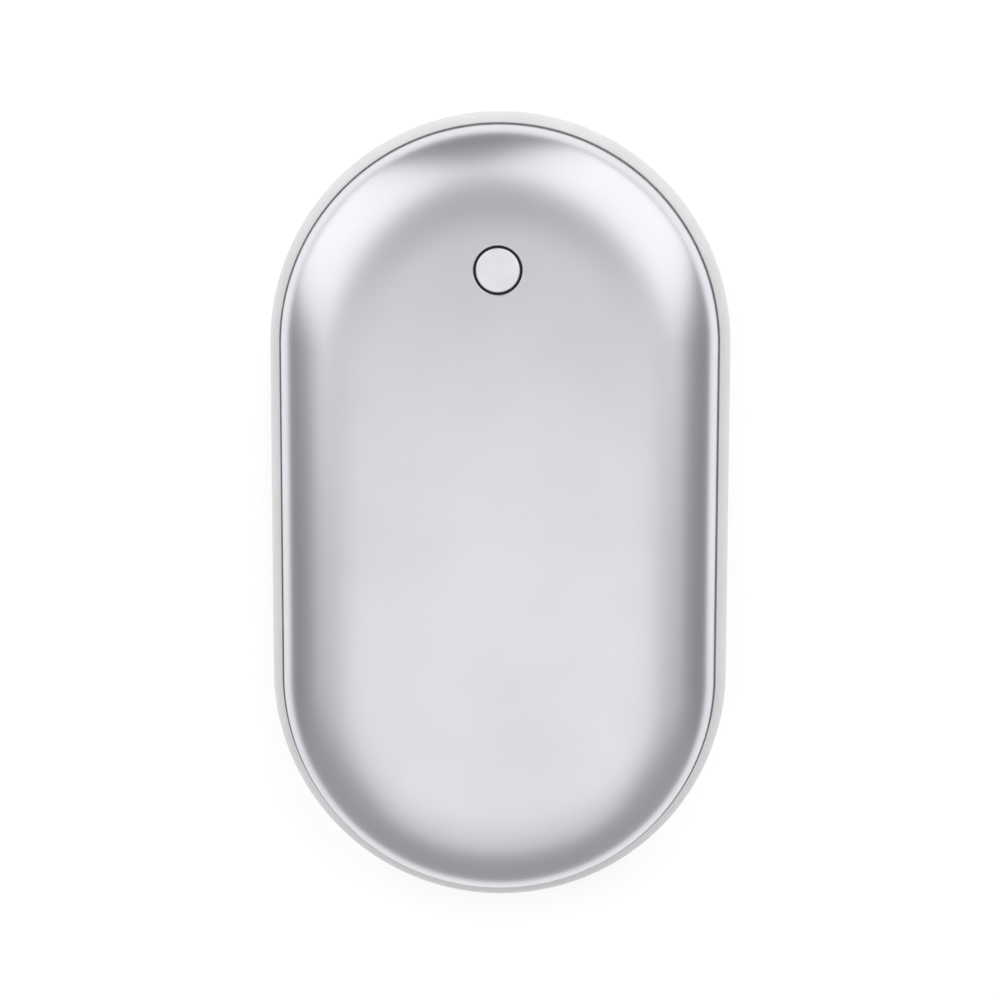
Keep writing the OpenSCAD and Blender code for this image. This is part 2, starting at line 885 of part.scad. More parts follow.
// Two leads beside each other that run along Z, with a sideways shift between their ends
module lead_pair(x, pitch, d, z_from, z_to, shift) {
    down = sign(z_to - z_from) * 2 * lead_run;
    for (s = [-0.5, 0.5])
        lead([[x + s * pitch, slot_y, z_from], [x + s * pitch, slot_y, z_from + down],
            [x + s * pitch, slot_y + shift, z_to - down], [x + s * pitch, slot_y + shift, z_to]], d);
}

// The heater leads end on the inner faces of their films
module front_heater_leads() {
    color("firebrick")
        half(0)
            intersection() {
                lead_pair(slot_x, lead_pitch, lead_d, film_z, board_top, -lead_shift);
                dished_solid(film_in_r, -half_t, foam_z);
            }
}

module back_heater_leads() {
    color("firebrick")
        half(0)
            intersection() {
                lead_pair(-slot_x, lead_pitch, lead_d, -film_z, board_z, lead_shift);
                mirror([0, 0, 1])
                    dished_solid(film_in_r, -half_t, foam_z);
            }
}

module thermistor() {
    color("saddlebrown")
        translate([-bead_x, slot_y, half_t + bead_top - bead_d / 2])
            rotate([0, 90, 0])
                cylinder(d = bead_d, h = slot_w - 2 * bead_room);
}

module thermistor_leads() {
    color("goldenrod")
        half(0)
            lead_pair(-slot_x, fine_pitch, fine_d, bead_top - bead_d, board_top, lead_shift);
}

module main_board() {
    color("darkgreen")
        translate([0, 0, half_t + board_z])
            difference() {
                linear_extrude(board_t)
                    intersection() {
                        translate([0, straight])
                            circle(board_r);
                        translate([-board_r, board_y0])
                            square([2 * board_r, half_l]);
                    }
                at_posts()
                    translate([0, 0, -over])
                        cylinder(r = screw_d / 2 + hole_fit, h = board_t + 2 * over);
            }
}

module port_shell() {
    inner_w = port_w - 2 * port_wall;
    inner_h = port_h - 2 * port_wall;
    color("lightsteelblue")
        half(0)
            difference() {
                slot_bar(port_w, port_h, port_y - port_depth, port_y);
                slot_bar(inner_w, inner_h, port_y - port_depth - over, port_y + over);
            }
}

module port_tongue() {
    plug_y = port_y - port_depth;
    color("black")
        half(0) {
            slot_bar(port_w - 2 * port_wall, port_h - 2 * port_wall, plug_y, plug_y + plug_depth);
            translate([-tongue_w / 2, plug_y + plug_depth - join, -tongue_t / 2])
                cube([tongue_w, port_depth - plug_depth - tongue_setback + join, tongue_t]);
        }
}

module port_contacts() {
    x = -((contact_count - 1) * contact_pitch + contact_w) / 2;
    y = port_y - tongue_setback - contact_setback - contact_len;
    color("gold")
        half(0)
            for (side = [0, 1], i = [0:contact_count - 1])
                mirror([0, 0, side])
                    translate([x + i * contact_pitch, y, tongue_t / 2])
                        cube([contact_w, contact_len, contact_t]);
}

// Switch parts are drawn with their origin in the middle plane, under the button
module at_button() {
    translate([0, button_y, half_t])
        children();
}

module switch_base() {
    color("black")
        at_button()
            difference() {
                translate([-switch_w / 2, -switch_w / 2, board_top])
                    cube([switch_w, switch_w, switch_base_h]);
                translate([0, 0, pocket_z])
                    cylinder(d = dome_d, h = half_t);
            }
}

module switch_cover() {
    color("silver")
        at_button()
            difference() {
                translate([-switch_w / 2, -switch_w / 2, cover_z])
                    cube([switch_w, switch_w, cover_t]);
                translate([0, 0, cover_z - over])
                    cylinder(r = plunger_d / 2 + guide_fit, h = cover_t + 2 * over);
            }
}

module switch_dome() {
    dome_r = dome_d / 2 - dome_fit;
    outer = quarter(dome_r, dome_h, 2, dome_steps);
    inner = quarter(dome_r - dome_t, dome_h - dome_t, 2, dome_steps);
    color("silver")
        at_button()
            translate([0, 0, pocket_z])
                rotate_extrude()
                    polygon(concat(outer, reversed(inner)));
}

module switch_plunger() {
    foot_top = cover_z - foot_play;
    color("dimgray")
        at_button() {
            translate([0, 0, foot_top - foot_t])
                cylinder(d = foot_d, h = foot_t);
            translate([0, 0, foot_top - foot_t / 2])
                cylinder(d = plunger_d, h = plunger_top - foot_top + foot_t / 2);
        }
}

module switch_legs() {
    leg_w = 0.7;
    leg_l = 1;
    leg_t = 0.25;
    color("lightsteelblue")
        at_button()
            for (x = [-1, 1], y = [-1, 1])
                translate([x * (switch_w + leg_l) / 2 - leg_l / 2, (y * leg_pitch - leg_w) / 2, board_top])
                    cube([leg_l, leg_w, leg_t]);
}

module indicator_leds() {
    color("white")
        half(0)
            at_lights()
                translate([bar_in_r - light_gap - led_size.x, -led_size.y / 2, board_top])
                    cube(led_size);
}

module light_pipe() {
    pin_end = half_w - pin_inset;
    color("aliceblue")
        half(0) {
            translate([0, straight, bar_z0])
                rotate([0, 0, light_from - light_step / 2])
                    rotate_extrude(angle = light_to - light_from + light_step)
                        translate([bar_in_r, 0])
                            square([bar_t, bar_z1 - bar_z0]);
            at_lights()
                translate([bar_in_r + bar_t / 2, 0, 0])
                    rotate([0, 90, 0])
                        cylinder(d = pipe_d, h = pin_end - bar_in_r - bar_t / 2);
        }
}

// A place on the board by its direction from the middle of the end and its distance from the edge
function board_place(angle, setback) =
    [(board_r - setback) * cos(angle), straight + (board_r - setback) * sin(angle)];

// A body on the board, centred at a place
module on_board(pos, size) {
    translate([pos.x - size.x / 2, pos.y - size.y / 2, half_t + board_top])
        cube(size);
}

module inductor() {
    foot_h = 0.8;
    rim = 0.1;
    pos = board_place(inductor_angle, inductor_setback);
    color("darkslategray") {
        on_board(pos, [inductor_w, inductor_w, foot_h]);
        translate([pos.x, pos.y, half_t + board_top])
            cylinder(d = inductor_w - 2 * rim, h = inductor_h);
    }
}

// A chip with a row of legs on each of two sides
module chip(pos, size, legs, pitch, leg) {
    on_board(pos, size);
    for (side = [-1, 1], i = [0:legs - 1])
        on_board(pos + [(i - (legs - 1) / 2) * pitch, side * (size.y + leg.y - join) / 2],
            [leg.x, leg.y + join, leg.z]);
}

module charge_chip() {
    color("black")
        chip(board_place(charge_angle, charge_setback), charge_size, 4, charge_pitch, charge_leg);
}

module control_chip() {
    color("black")
        on_board([0, control_y], control_size);
}

module heater_transistors() {
    color("black")
        for (side = [-1, 1])
            chip([side * transistor_x, control_y], transistor_size, 2, transistor_pitch, transistor_leg);
}

module capacitors() {
    color("tan")
        for (i = [0:capacitor_count - 1])
            on_board([(i - (capacitor_count - 1) / 2) * capacitor_pitch, capacitor_y], capacitor_size);
}

// A screw with its seat at the origin, its shank downwards and a cross in its head
module screw(length) {
    cross_w = 0.5;
    cross_l = 0.6 * head_d;
    cross_depth = 0.6 * head_h;
    difference() {
        union() {
            cylinder(d = head_d, h = head_h);
            translate([0, 0, -length])
                cylinder(d = screw_d, h = length + head_h / 2);
        }
        for (size = [[cross_l, cross_w], [cross_w, cross_l]])
            translate([-size.x / 2, -size.y / 2, head_h - cross_depth])
                cube([size.x, size.y, cross_depth + over]);
    }
}

module board_screws() {
    color("silver")
        half(0)
            at_posts()
                translate([0, 0, board_top])
                    screw(board_screw_len);
}

module chassis_screws() {
    color("silver")
        half(0)
            at_bosses()
                translate([0, 0, seat_z])
                    screw(chassis_screw_len);
}

front_shell();
back_shell();
mid_band();
button_cap();
front_bond();
back_bond();
front_chassis();
back_chassis();
front_heater_film();
back_heater_film();
front_foam();
back_foam();
cell_can_left();
cell_can_right();
cell_core_left();
cell_core_right();
cell_cap_left();
cell_cap_right();
cell_gasket_left();
cell_gasket_right();
cell_sleeve_left();
cell_sleeve_right();
strip_positive();
strip_negative();
lead_positive();
lead_negative();
front_heater_leads();
back_heater_leads();
thermistor();
thermistor_leads();
main_board();
port_shell();
port_tongue();
port_contacts();
switch_base();
switch_cover();
switch_dome();
switch_plunger();
switch_legs();
indicator_leds();
light_pipe();
inductor();
charge_chip();
control_chip();
heater_transistors();
capacitors();
board_screws();
chassis_screws();
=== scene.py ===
import bpy
import bmesh
import json
import numpy as np
from math import radians, sin, cos, pi
from mathutils import Matrix, Vector


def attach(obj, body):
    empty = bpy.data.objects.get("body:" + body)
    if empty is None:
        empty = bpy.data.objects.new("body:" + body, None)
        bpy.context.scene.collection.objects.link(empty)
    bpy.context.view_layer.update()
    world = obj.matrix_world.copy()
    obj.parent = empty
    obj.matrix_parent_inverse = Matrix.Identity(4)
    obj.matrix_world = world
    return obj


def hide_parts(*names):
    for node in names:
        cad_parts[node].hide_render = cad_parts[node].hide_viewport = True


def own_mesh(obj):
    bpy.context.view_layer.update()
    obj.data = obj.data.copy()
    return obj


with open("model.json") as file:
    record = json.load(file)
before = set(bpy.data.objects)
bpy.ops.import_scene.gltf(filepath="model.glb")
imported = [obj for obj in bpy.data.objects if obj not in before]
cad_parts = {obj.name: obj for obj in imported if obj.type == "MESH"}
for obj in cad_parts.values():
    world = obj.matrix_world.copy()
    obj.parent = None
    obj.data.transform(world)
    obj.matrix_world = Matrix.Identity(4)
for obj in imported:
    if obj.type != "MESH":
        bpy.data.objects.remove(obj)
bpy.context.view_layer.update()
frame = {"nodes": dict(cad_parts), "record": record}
nodes = frame["nodes"]
mm = 0.001
print("frame loaded:", len(nodes), "parts")

# Sizes of shapes are in millimetres, with heights from the middle plane of the body
pill = {"straight": 22.0, "middle": 13.25}
# Points closer than this (metres) are merged, and edges sharper than this (degrees) stay sharp
meshing = {"merge": 1e-6, "sharp": 34}
# Slack when heights and angles are compared
tiny = 1e-6


def srgb(code):
    # a hex colour turned to linear red, green and blue, with alpha 1
    c = np.array([int(code[i:i + 2], 16) for i in (0, 2, 4)]) / 255
    c = np.where(c <= 0.04045, c / 12.92, ((c + 0.055) / 1.055) ** 2.4)
    return (*map(float, c), 1.0)


def addNode(tree, kind, settings=None, inputs=None):
    # a shader node with its settings, and its inputs as values or as links from other nodes
    node = tree.nodes.new("ShaderNode" + kind)
    for key, value in (settings or {}).items():
        setattr(node, key, value)
    for key, value in (inputs or {}).items():
        if isinstance(value, bpy.types.NodeSocket):
            tree.links.new(value, node.inputs[key])
        else:
            node.inputs[key].default_value = value
    return node


def newFinish(name, look):
    # a material with a Principled shader whose uniform values are set on its own sockets
    material = bpy.data.materials.new(name)
    material.use_nodes = True
    tree = material.node_tree
    shader = tree.nodes["Principled BSDF"]
    shader.inputs["Base Color"].default_value = srgb(look["color"])
    material.diffuse_color = srgb(look["color"])
    for key, socket in (("metallic", "Metallic"), ("roughness", "Roughness"), ("ior", "IOR"),
                        ("coat", "Coat Weight"), ("coatRoughness", "Coat Roughness"),
                        ("transmission", "Transmission Weight"), ("sheen", "Sheen Weight")):
        if key in look:
            shader.inputs[socket].default_value = look[key]
    place = addNode(tree, "TexCoord").outputs["Object"]
    return material, tree, shader, place


def grainBump(tree, shader, place, size, depth, stretch=(1, 1, 1)):
    # a fine relief: noise with grains of a size, and a depth, both in millimetres
    spread = addNode(tree, "Mapping", None, {"Vector": place, "Scale": stretch})
    noise = addNode(tree, "TexNoise", None, {"Vector": spread.outputs[0],
                                             "Scale": 1 / (size * mm), "Detail": 2.0})
    bump = addNode(tree, "Bump", None, {"Height": noise.outputs[0], "Distance": depth * mm,
                                        "Strength": 1.0})
    tree.links.new(bump.outputs[0], shader.inputs["Normal"])
    return noise.outputs[0]


def shaded(tree, shader, factor, first, second, low=0.35, high=0.65):
    # the base colour drifts between two hex colours with a pattern
    ramp = addNode(tree, "ValToRGB", None, {"Fac": factor})
    ramp.color_ramp.elements[0].position = low
    ramp.color_ramp.elements[1].position = high
    ramp.color_ramp.elements[0].color = srgb(first)
    ramp.color_ramp.elements[1].color = srgb(second)
    tree.links.new(ramp.outputs[0], shader.inputs["Base Color"])
    return ramp.outputs[0]


def clouded(tree, shader, place, look):
    # grain in the relief, and clouds between the look's two colours
    grainBump(tree, shader, place, look["grain"], look["grainDepth"])
    cloud = addNode(tree, "TexNoise", None, {"Vector": place, "Scale": 1 / (look["cloud"] * mm),
                                             "Detail": look["cloudDetail"]}).outputs[0]
    return cloud, shaded(tree, shader, cloud, look["color"], look["second"])


aluminiumLook = {"color": "DDDCE1", "second": "D9D8DD", "metallic": 1.0, "roughness": 0.3,
                 "rougher": 0.32, "grain": 0.25, "grainDepth": 0.0012, "cloud": 18.0,
                 "cloudDetail": 3.0, "cloudLow": 0.3, "cloudHigh": 0.7}


def satinAluminium():
    # pressed aluminium sheet, bead blasted and clear anodised: a soft broad mirror with a faint
    # violet cast, a touch duller in places. The blasted pits, about 0.05 mm wide, are drawn
    # 0.25 mm wide so that they show.
    look = aluminiumLook
    material, tree, shader, place = newFinish("satinAnodisedAluminium", look)
    cloud = clouded(tree, shader, place, look)[0]
    # most of the noise lies between the cloud's low and high
    duller = addNode(tree, "MapRange", None,
                     {"Value": cloud, "From Min": look["cloudLow"], "From Max": look["cloudHigh"],
                      "To Min": look["roughness"], "To Max": look["rougher"]})
    tree.links.new(duller.outputs[0], shader.inputs["Roughness"])
    return material


bandLook = {"color": "F1F1F0", "second": "EDEDEC", "roughness": 0.42, "ior": 1.53, "grain": 0.3,
            "grainDepth": 0.004, "cloud": 9.0, "cloudDetail": 2.0}


def mouldedBand():
    # ABS moulded in a finely spark-eroded tool: pale grey with a soft gloss. The tool's pits,
    # about 0.1 mm wide, are drawn 0.3 mm wide.
    material, tree, shader, place = newFinish("mouldedBandAbs", bandLook)
    clouded(tree, shader, place, bandLook)
    return material


# The paint ends at a height over the floor, in millimetres. Below it the button is near black:
# painted shade for the gap round the cap
buttonLook = {"color": "F6F5F8", "second": "F1F0F3", "gapShade": "1E1E20", "metallic": 0.5,
              "roughness": 0.4, "ior": 1.5, "coat": 0.2, "coatRoughness": 0.25, "grain": 0.2,
              "grainDepth": 0.002, "cloud": 2.5, "cloudDetail": 2.0, "paintLow": 26.3,
              "paintHigh": 26.4}


def paintedButton():
    # silver paint of fine flakes sprayed on the top, down to just under its rim: pigment drifts very
    # slightly over the cap. The spray's orange peel has lumps of 0.2 mm. Below the rim the button is
    # near black: painted shade for the gap round the cap.
    look = buttonLook
    material, tree, shader, place = newFinish("satinPaintedButton", look)
    paint = clouded(tree, shader, place, look)[1]
    height = addNode(tree, "SeparateXYZ", None, {0: place}).outputs["Z"]
    share = addNode(tree, "MapRange", None, {"Value": height, "From Min": look["paintLow"] * mm,
                                             "From Max": look["paintHigh"] * mm}).outputs[0]
    # of the mix's sockets 0 is the share, and 6 and 7 are the two colours: painted shade and paint
    paintOverGapShade = addNode(tree, "Mix", {"data_type": "RGBA"}, {0: share, 6: srgb(look["gapShade"]), 7: paint})
    tree.links.new(paintOverGapShade.outputs[2], shader.inputs["Base Color"])
    flakes = addNode(tree, "Math", {"operation": "MULTIPLY"}, {0: share, 1: look["metallic"]})
    tree.links.new(flakes.outputs[0], shader.inputs["Metallic"])
    return material


def gridFaces(rows, columns, wrapRows, wrapColumns, keep=None):
    # four-cornered faces between neighbouring rows and columns of a grid of points
    a, b = np.meshgrid(np.arange(rows if wrapRows else rows - 1),
                       np.arange(columns if wrapColumns else columns - 1), indexing="ij")
    c, d = (a + 1) % rows, (b + 1) % columns
    faces = np.stack([a * columns + b, a * columns + d, c * columns + d, c * columns + b], -1)
    return faces.reshape(-1, 4) if keep is None else faces[keep]


def makePiece(name, grids, body, material):
    # one mesh from grids of points, each with (points, wrapRows, wrapColumns, faces kept), with
    # doubles merged at seams and poles, and faces turned outwards; it stands for its CAD node
    points, faces, first = [], [], 0
    for grid, wrapRows, wrapColumns, keep in grids:
        faces.append(gridFaces(*grid.shape[:2], wrapRows, wrapColumns, keep) + first)
        points.append(grid.reshape(-1, 3))
        first += len(points[-1])
    co = (np.concatenate(points) + [0, 0, pill["middle"]]) * mm
    mesh = bpy.data.meshes.new(name)
    mesh.from_pydata(co.tolist(), [], np.concatenate(faces).tolist())
    work = bmesh.new()
    work.from_mesh(mesh)
    bmesh.ops.delete(work, geom=[v for v in work.verts if not v.link_faces], context="VERTS")
    bmesh.ops.remove_doubles(work, verts=work.verts, dist=meshing["merge"])
    bmesh.ops.recalc_face_normals(work, faces=work.faces)
    openEdges = sum(not e.is_manifold for e in work.edges)
    work.to_mesh(mesh)
    work.free()
    mesh.polygons.foreach_set("use_smooth", np.ones(len(mesh.polygons), bool))
    mesh.set_sharp_from_angle(angle=radians(meshing["sharp"]))
    mesh.materials.append(material)
    piece = bpy.data.objects.new(name, mesh)
    bpy.context.scene.collection.objects.link(piece)
    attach(piece, body)
    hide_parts(name.replace("Piece", ""))
    print(name, len(mesh.polygons), "faces,", openEdges, "open edges")
    return piece


def pillLine(endAngles, sideSteps, lowSteps):
    # once round the pill: points of its middle line, and the directions that point outwards
    top = np.radians(endAngles)
    low = np.linspace(pi, 2 * pi, lowSteps + 1)
    side = pill["straight"] * (1 - 2 * np.arange(1, sideSteps) / sideSteps)
    turn = np.concatenate([top, np.full(len(side), pi), low, np.full(len(side), 2 * pi)])
    y = np.concatenate([np.full(len(top), pill["straight"]), side,
                        np.full(len(low), -pill["straight"]), -side])
    return np.stack([0 * y, y], 1), np.stack([np.cos(turn), np.sin(turn)], 1)


def carried(profile, line):
    # a profile of radii and heights carried round the pill: middle line + radius x direction
    centre, out = line
    p = np.asarray(profile, float)
    xy = centre + p[:, :1, None] * out
    return np.concatenate([xy, np.repeat(p[:, 1:], len(out), 1)[:, :, None]], 2)


def circleRound(spot, steps):
    # points on a circle of 1 mm round a spot: spot + (cos a, sin a)
    turn = np.linspace(0, 2 * pi, steps, endpoint=False)
    return spot + np.stack([np.cos(turn), np.sin(turn)], 1)


def ringRows(outline, spot, profile):
    # rings round a spot at the radii and heights of a profile, in the directions in which the
    # outline's points lie from the spot
    away = outline[:, :2] - spot
    away = away / np.linalg.norm(away, axis=1, keepdims=True)
    p = np.asarray(profile, float)
    xy = spot + p[:, :1, None] * away
    return np.concatenate([xy, np.repeat(p[:, 1:], len(away), 1)[:, :, None]], 2)


def between(first, last, shares):
    # rows that lie at shares of the way from one row of points to another
    s = np.asarray(shares, float)[:, None, None]
    return (1 - s) * first + s * last


def quarterRound(r, z, size, start, steps=6):
    # a quarter circle round (r, z), clockwise from an angle: r + size cos a, z + size sin a
    a = np.radians(start - np.linspace(0, 90, steps + 1))
    return np.stack([r + size * np.cos(a), z + size * np.sin(a)], 1)


def superQuarter(r, z, w, h, power, a):
    # a superellipse from its side to its top: r + w cos(a)^(2/power), z + h sin(a)^(2/power)
    c, s = np.clip(np.cos(a), 0, 1), np.clip(np.sin(a), 0, 1)
    return np.stack([r + w * c ** (2 / power), z + h * s ** (2 / power)], 1)


# Rims have their round, and where that runs into a flat face a last narrow ring
buttonSize = {"y": 31.9, "cap": 2.8, "hole": 3.1, "round": 0.2, "ring": 0.05, "top": 13.4,
              "collar": 4.1, "collarTop": 12.3, "collarThick": 0.6, "collarRound": 0.1,
              "stem": 2.0, "stemLow": 3.42, "stemBevel": 0.15, "steps": 128}
shellSize = {"rim": 28.5, "flat": 13.5, "seam": 6.5, "top": 13.25, "power": 2.5, "wall": 0.8,
             "foot": 5.7, "footRound": 0.1, "footSteps": 3, "edgeRows": 60, "innerRows": 24,
             "endSteps": 128, "sideSteps": 40}
# Rows of a shell's flat face, outside and inside, as shares of the way in from its rounded edge
holedFace = {"outside": (0.01, 0.1, 0.3, 0.5, 0.7, 0.9), "inside": (0.9, 0.4)}
plainFace = {"outside": (0.01, 0.1, 0.3, 0.6, 1), "inside": (1, 0.5)}


def shellRows(withHole):
    # the pressed shell as one closed skin: foot, rounded edge as a quarter superellipse, flat
    # face, button hole with a rolled rim or a pole, and back along the inside
    s = shellSize
    line = pillLine(np.linspace(0, 180, s["endSteps"] + 1), s["sideSteps"], s["endSteps"])
    w, h, q = s["rim"] - s["flat"], s["top"] - s["seam"], s["footRound"]
    outside = superQuarter(s["flat"], s["seam"], w, h, s["power"],
                           np.linspace(0, pi / 2, s["edgeRows"]))
    inside = superQuarter(s["flat"], s["seam"], w - s["wall"], h - s["wall"], s["power"],
                          np.linspace(pi / 2, 0, s["innerRows"]))
    footOut = quarterRound(s["rim"] - q, s["foot"] + q, q, 0, s["footSteps"])[::-1]
    footIn = quarterRound(s["rim"] - s["wall"] + q, s["foot"] + q, q, -90, s["footSteps"])[::-1]
    outer = carried(np.concatenate([footOut, outside]), line)
    inner = carried(np.concatenate([inside, footIn]), line)
    if not withHole:
        spot = np.zeros(2)
        pole, innerPole = ringRows(outer[-1], spot, [[0, s["top"]], [0, s["top"] - s["wall"]]])
        face = between(outer[-1], pole, plainFace["outside"])
        back = between(inner[0], innerPole, plainFace["inside"])
        return np.concatenate([back, inner, outer, face]), False
    b = buttonSize
    spot = np.array([0, b["y"]])
    rolled = quarterRound(b["hole"] + b["round"], s["top"] - b["round"], b["round"], 180)[::-1]
    ring = ringRows(outer[-1], spot, [[b["hole"] + b["round"] + b["ring"], s["top"]], *rolled,
                                      [b["hole"], s["top"] - s["wall"]]])
    face = between(outer[-1], ring[0], holedFace["outside"])
    back = between(inner[0], ring[-1], holedFace["inside"])
    return np.concatenate([outer, face, ring, back, inner]), True


def makeShells(material):
    rows, wrap = shellRows(True)
    makePiece("front_shellPiece", [(rows, wrap, True, None)], "body", material)
    rows, wrap = shellRows(False)
    makePiece("back_shellPiece", [(rows * [1, 1, -1], wrap, True, None)],
              "body", material)


def makeButton(material):
    # the button turned about its own axis: cap with a rounded rim, collar under the shell, stem
    b = buttonSize
    spot = np.array([0, b["y"]])
    q, c, e = b["round"], b["collarRound"], b["stemBevel"]
    top, collarTop, collarLow = b["top"], b["collarTop"], b["collarTop"] - b["collarThick"]
    profile = [[0, top], [b["cap"] - q - b["ring"], top],
               *quarterRound(b["cap"] - q, top - q, q, 90), [b["cap"], collarTop],
               *quarterRound(b["collar"] - c, collarTop - c, c, 90, 3),
               *quarterRound(b["collar"] - c, collarLow + c, c, 0, 3), [b["stem"], collarLow],
               [b["stem"], b["stemLow"] + e], [b["stem"] - e, b["stemLow"]], [0, b["stemLow"]]]
    rows = ringRows(circleRound(spot, b["steps"]), spot, profile)
    makePiece("button_capPiece", [(rows, False, True, None)], "button", material)


bandSize = {"halfWidth": 30.5, "lip": 28.75, "seam": 6.5, "power": 2.5, "lipRound": 0.1,
            "ledge": 5.5, "inner": 27.3, "rowStep": 0.15, "rowsTo": 3.0, "shoulderRows": 26,
            "sideSteps": 30, "lowSteps": 110}
# Columns round the +Y end, in degrees from +X: a number before the fine ones and one after them
bandColumns = {"fineFrom": 40, "fineTo": 103, "fineStep": 0.5, "before": 25, "after": 46}
# Openings in the band: direction, half of the straight length, radius, rounding of the rim, and
# half sizes of the patch round it, in degrees and in height
portOpening = {"angle": 90, "straight": 2.84, "radius": 1.93, "round": 0.18, "patch": 12,
               "patchHigh": 2.7}
lightOpening = {"straight": 0.0, "radius": 0.8, "round": 0.1, "patch": 3, "patchHigh": 1.5}
lightAngles = (44, 51, 58, 65)
# Rows of an opening: shares of the way from the patch's edge to the rim, the last narrow ring
# round the rim, steps of the rim's quarter round, and shares from the opening to the patch inside
openingSteps = {"outside": (0, 0.3, 0.6, 0.85, 1), "ring": 0.03, "round": 6, "inside": (0, 0.5, 1)}
# The flange that the chassis halves clamp. Its runs are (from, to, points), in degrees: round both
# ends from the port to the lights, and a short one between these
flangeSize = {"reach": 25.8, "half": 0.8, "join": 0.05, "sidePoints": 31,
              "ends": ((100, 180, 40), (180, 360, 80), (360, 400, 20)), "short": (69, 80, 8)}
# Lugs on the flange that the chassis screws pass through
lugSize = {"x": 22.1, "y": 18.0, "radius": 2.2, "eye": 1.0, "steps": 48}


def bandRadius(z):
    # radius of the band's bulge at a height: lip + w (1 - |z/h|^power)^(1/power)
    b = bandSize
    share = 1 - np.clip(np.abs(z) / b["seam"], 0, 1) ** b["power"]
    return b["lip"] + (b["halfWidth"] - b["lip"]) * share ** (1 / b["power"])


def openingRows(opening, angle, turn, z):
    # a patch from a block of the band's outside, round a rounded rim, along the opening's wall and
    # back out to the same block on the inside: all rings round one centre
    b, c, q = bandSize, radians(angle), opening["round"]
    across = bandRadius(z) * np.sin(turn - c)
    size = np.hypot(across, z)
    dx, dz = across / size, z / size

    def ring(extra):
        # where a ray from the centre leaves a slot with round ends: its flat side or its end
        radius, half = opening["radius"] + extra, opening["straight"]
        flat = radius / np.maximum(np.abs(dz), tiny)
        end = half * np.abs(dx) + np.sqrt(np.maximum(radius ** 2 - (half * dz) ** 2, 0))
        reach = np.where(np.abs(dx) * flat <= half, flat, end)
        return np.stack([dx * reach, dz * reach], 1)

    def placed(flatPoints, radius, depth=0):
        # flat points bent round the end at a radius, and sunk by a depth
        t, h = flatPoints[..., 0], flatPoints[..., 1]
        out = np.sqrt(radius ** 2 - t ** 2) - depth
        return np.stack([out * cos(c) - t * sin(c),
                         pill["straight"] + out * sin(c) + t * cos(c), h], -1)

    rim = ring(q + openingSteps["ring"])
    outside = between(np.stack([across, z], 1), rim, openingSteps["outside"])
    rows = [placed(p, bandRadius(p[:, 1])) for p in outside]
    for a in np.radians(np.linspace(0, 90, openingSteps["round"] + 1)):
        p = ring(q * (1 - sin(a)))
        rows.append(placed(p, bandRadius(p[:, 1]), q * (1 - cos(a))))
    inner = np.stack([b["inner"] * np.sin(turn - c), z], 1)
    rows += [placed(p, b["inner"]) for p in between(ring(0), inner, openingSteps["inside"])]
    return np.stack(rows)


def bandProfile(mid):
    # the band's section, from the heights of its middle rows: bulge, upper shoulder, rounded lip
    # and ledge, inner wall, and the upper part mirrored; and the number of its first inner row
    b, q = bandSize, bandSize["lipRound"]
    w = b["halfWidth"] - b["lip"]
    a = np.linspace(np.arcsin((b["rowsTo"] / b["seam"]) ** (b["power"] / 2)),
                    np.arccos((q / w) ** (b["power"] / 2)), b["shoulderRows"])[1:]
    shoulder = superQuarter(b["lip"], 0, w, b["seam"], b["power"], a)
    lip = quarterRound(b["lip"] + q, shoulder[-1, 1] - q, q, 180)[::-1][1:]
    upper = np.concatenate([shoulder, lip, [[b["lip"], b["ledge"]], [b["inner"], b["ledge"]]]])
    bulge = np.stack([bandRadius(mid), mid], 1)
    wall = np.stack([np.full(len(mid), b["inner"]), mid[::-1]], 1)
    return np.concatenate([bulge, upper, wall, upper[::-1] * [1, -1]]), len(mid) + len(upper)


def bandOpenings(keep, angles, mid, insideFirst):
    # takes the block of faces round each opening out of the band's grid, outside and inside, and
    # gives the patches that fill them
    patches, last = [], insideFirst + len(mid) - 1
    openings = [(portOpening, portOpening["angle"])]
    openings += [(lightOpening, angle) for angle in lightAngles]
    for opening, angle in openings:
        c = np.flatnonzero(np.abs(angles - angle) <= opening["patch"] + tiny)[[0, -1]]
        r = np.flatnonzero(np.abs(mid) <= opening["patchHigh"] + tiny)[[0, -1]]
        keep[r[0]:r[1], c[0]:c[1]] = False
        keep[last - r[1]:last - r[0], c[0]:c[1]] = False
        columns, rows = np.arange(c[0], c[1] + 1), np.arange(r[0], r[1] + 1)
        wide, high = len(columns) - 1, len(rows) - 1
        column = np.concatenate([columns[:-1], np.full(high, c[1]), columns[:0:-1],
                                 np.full(high, c[0])])
        row = np.concatenate([np.full(wide, r[0]), rows[:-1], np.full(wide, r[1]), rows[:0:-1]])
        patch = openingRows(opening, angle, np.radians(angles[column]), mid[row])
        patches.append((patch, False, True, None))
    return patches


